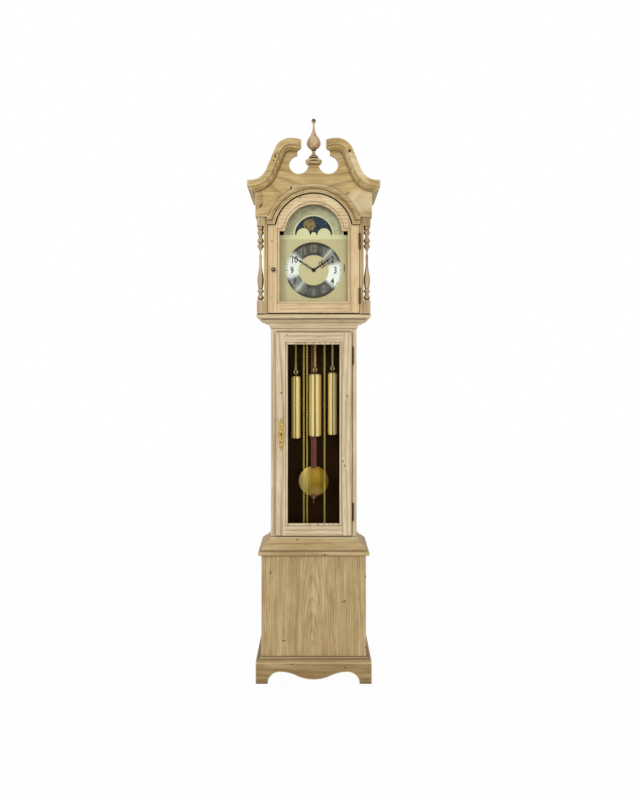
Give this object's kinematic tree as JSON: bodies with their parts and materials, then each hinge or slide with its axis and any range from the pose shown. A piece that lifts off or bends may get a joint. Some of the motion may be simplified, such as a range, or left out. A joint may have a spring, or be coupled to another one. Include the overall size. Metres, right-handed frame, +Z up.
{
  "type": "longcase clock",
  "caption": "Tall longcase clock: swan-neck hood with columns and arched dial, glazed trunk door over hanging weights and pendulum, and a bracket plinth.",
  "frame": {"origin": "centre of the clock's outline in plan, on the floor", "axes": "+Z up, the dial and doors face -Y, the back is flat at +Y, +X to the right seen from the front"},
  "size_m": [0.461, 0.251, 1.9787],
  "materials": {
    "pine": "limed and glazed pine",
    "finial_pine": "darker glazed pine",
    "window_glass": "clear polished glass",
    "polished_brass": "polished and lacquered",
    "old_brass": "darkened antique",
    "dial_brass": "satin cream gold",
    "silvered_brass": "silvered and engraved",
    "moon_paint": "painted night sky",
    "black_steel": "blued black",
    "steel": "turned steel",
    "iron": "black cast iron",
    "pendulum_wood": "red-brown varnish"
  },
  "bodies": {
    "case": {"plinth_front": "pine", "plinth_sides": "pine", "plinth_moulding": "pine", "base_front_panel": "pine", "base_sides": "pine", "floor_board": "pine", "base_moulding": "pine", "waist_front_frame": "pine", "waist_sides": "pine", "back_board": "pine", "hood_cove_moulding": "pine", "hood_base_frame": "pine", "seat_board": "pine", "hood_sides": "pine", "hood_posts": "pine", "hood_columns": "pine", "scroll_board": "pine", "frieze_sides": "pine", "hood_roof": "pine", "arch_moulding": "pine", "swan_necks": "pine", "cornice_returns": "pine", "finial": "finial_pine", "dial_plate": "dial_brass", "chapter_ring": "silvered_brass", "movement_front_plate": "polished_brass", "movement_back_plate": "polished_brass", "chime_rods": "iron", "case_hinge_leaves": "old_brass", "chain_loaded_left": "polished_brass", "chain_free_left": "polished_brass", "chain_loaded_centre": "polished_brass", "chain_free_centre": "polished_brass", "chain_loaded_right": "polished_brass", "chain_free_right": "polished_brass"},
    "hood_door": {"hood_door_frame": "pine", "hood_door_glass": "window_glass", "hood_door_knob": "pine", "hood_door_hinges": "old_brass"},
    "waist_door": {"waist_door_frame": "pine", "waist_door_glass": "window_glass", "waist_door_escutcheon": "old_brass", "waist_door_hinges": "old_brass"},
    "minute_hand": {"minute_hand": "black_steel"},
    "hour_hand": {"hour_hand": "black_steel"},
    "moon_disc": {"moon_disc": "moon_paint"},
    "chime_lever": {"chime_lever": "black_steel"},
    "pendulum": {"pendulum_stick": "pendulum_wood", "pendulum_bob": "polished_brass"},
    "rating_nut": {"rating_nut": "old_brass"},
    "crutch": {"crutch": "steel"},
    "weight_left": {"weight_left": "polished_brass"},
    "sprocket_left": {"sprocket_left": "steel"},
    "chain_end_left": {"chain_end_left": "polished_brass"},
    "weight_centre": {"weight_centre": "polished_brass"},
    "sprocket_centre": {"sprocket_centre": "steel"},
    "chain_end_centre": {"chain_end_centre": "polished_brass"},
    "weight_right": {"weight_right": "polished_brass"},
    "sprocket_right": {"sprocket_right": "steel"},
    "chain_end_right": {"chain_end_right": "polished_brass"}
  },
  "joints": [
    {"name": "hood_door_hinge", "type": "hinge", "parent": "case", "child": "hood_door", "pos_m": [0.1613, -0.098, 1.45], "axis": [0, 0, 1], "range_deg": [0, 110]},
    {"name": "waist_door_hinge", "type": "hinge", "parent": "case", "child": "waist_door", "pos_m": [0.1396, -0.0519, 0.87], "axis": [0, 0, 1], "range_deg": [0, 110]},
    {"name": "minute_hand_turn", "type": "hinge", "parent": "case", "child": "minute_hand", "pos_m": [0, -0.055, 1.454], "axis": [0, 1, 0], "continuous": true},
    {"name": "hour_hand_turn", "type": "hinge", "parent": "case", "child": "hour_hand", "pos_m": [0, -0.054, 1.454], "axis": [0, 1, 0], "continuous": true},
    {"name": "moon_disc_turn", "type": "hinge", "parent": "case", "child": "moon_disc", "pos_m": [0, -0.0496, 1.58], "axis": [0, 1, 0], "continuous": true},
    {"name": "chime_lever_shift", "type": "slide", "parent": "case", "child": "chime_lever", "axis": [0, 0, 1], "range_m": [-0.014, 0.014]},
    {"name": "pendulum_swing", "type": "hinge", "parent": "case", "child": "pendulum", "pos_m": [0, 0.04, 1.492], "axis": [0, 1, 0], "range_deg": [-3.5, 3.5]},
    {"name": "rating_nut_turn", "type": "hinge", "parent": "pendulum", "child": "rating_nut", "pos_m": [0, 0.04, 0.625], "axis": [0, 0, 1], "continuous": true},
    {"name": "crutch_rock", "type": "hinge", "parent": "case", "child": "crutch", "pos_m": [0, 0, 1.492], "axis": [0, 1, 0], "range_deg": [-3.6, 3.6]},
    {"name": "weight_left_drop", "type": "slide", "parent": "case", "child": "weight_left", "axis": [0, 0, 1], "range_m": [-0.7, 0.2], "deforming": ["chain_loaded_left"]},
    {"name": "sprocket_left_turn", "type": "hinge", "parent": "case", "child": "sprocket_left", "pos_m": [-0.0505, -0.002, 1.4], "axis": [0, 1, 0], "range_deg": [-2771, 795.29]},
    {"name": "chain_end_left_rise", "type": "slide", "parent": "case", "child": "chain_end_left", "axis": [0, 0, 1], "range_m": [-0.201, 0.701], "deforming": ["chain_free_left"]},
    {"name": "weight_centre_drop", "type": "slide", "parent": "case", "child": "weight_centre", "axis": [0, 0, 1], "range_m": [-0.7, 0.2], "deforming": ["chain_loaded_centre"]},
    {"name": "sprocket_centre_turn", "type": "hinge", "parent": "case", "child": "sprocket_centre", "pos_m": [-0.0095, -0.002, 1.4], "axis": [0, 1, 0], "range_deg": [-795.29, 2771]},
    {"name": "chain_end_centre_rise", "type": "slide", "parent": "case", "child": "chain_end_centre", "axis": [0, 0, 1], "range_m": [-0.201, 0.701], "deforming": ["chain_free_centre"]},
    {"name": "weight_right_drop", "type": "slide", "parent": "case", "child": "weight_right", "axis": [0, 0, 1], "range_m": [-0.7, 0.2], "deforming": ["chain_loaded_right"]},
    {"name": "sprocket_right_turn", "type": "hinge", "parent": "case", "child": "sprocket_right", "pos_m": [0.054, -0.002, 1.4], "axis": [0, 1, 0], "range_deg": [-795.29, 2771]},
    {"name": "chain_end_right_rise", "type": "slide", "parent": "case", "child": "chain_end_right", "axis": [0, 0, 1], "range_m": [-0.201, 0.701], "deforming": ["chain_free_right"]}
  ],
  "couplings": [
    {"joint": "hour_hand_turn", "follows": "minute_hand_turn", "ratio": 0.083333},
    {"joint": "crutch_rock", "follows": "pendulum_swing", "ratio": 1},
    {"joint": "sprocket_left_turn", "follows": "weight_left_drop", "rad_per_m": 68.966},
    {"joint": "chain_end_left_rise", "follows": "weight_left_drop", "ratio": -1},
    {"joint": "sprocket_centre_turn", "follows": "weight_centre_drop", "rad_per_m": -68.966},
    {"joint": "chain_end_centre_rise", "follows": "weight_centre_drop", "ratio": -1},
    {"joint": "sprocket_right_turn", "follows": "weight_right_drop", "rad_per_m": -68.966},
    {"joint": "chain_end_right_rise", "follows": "weight_right_drop", "ratio": -1}
  ]
}
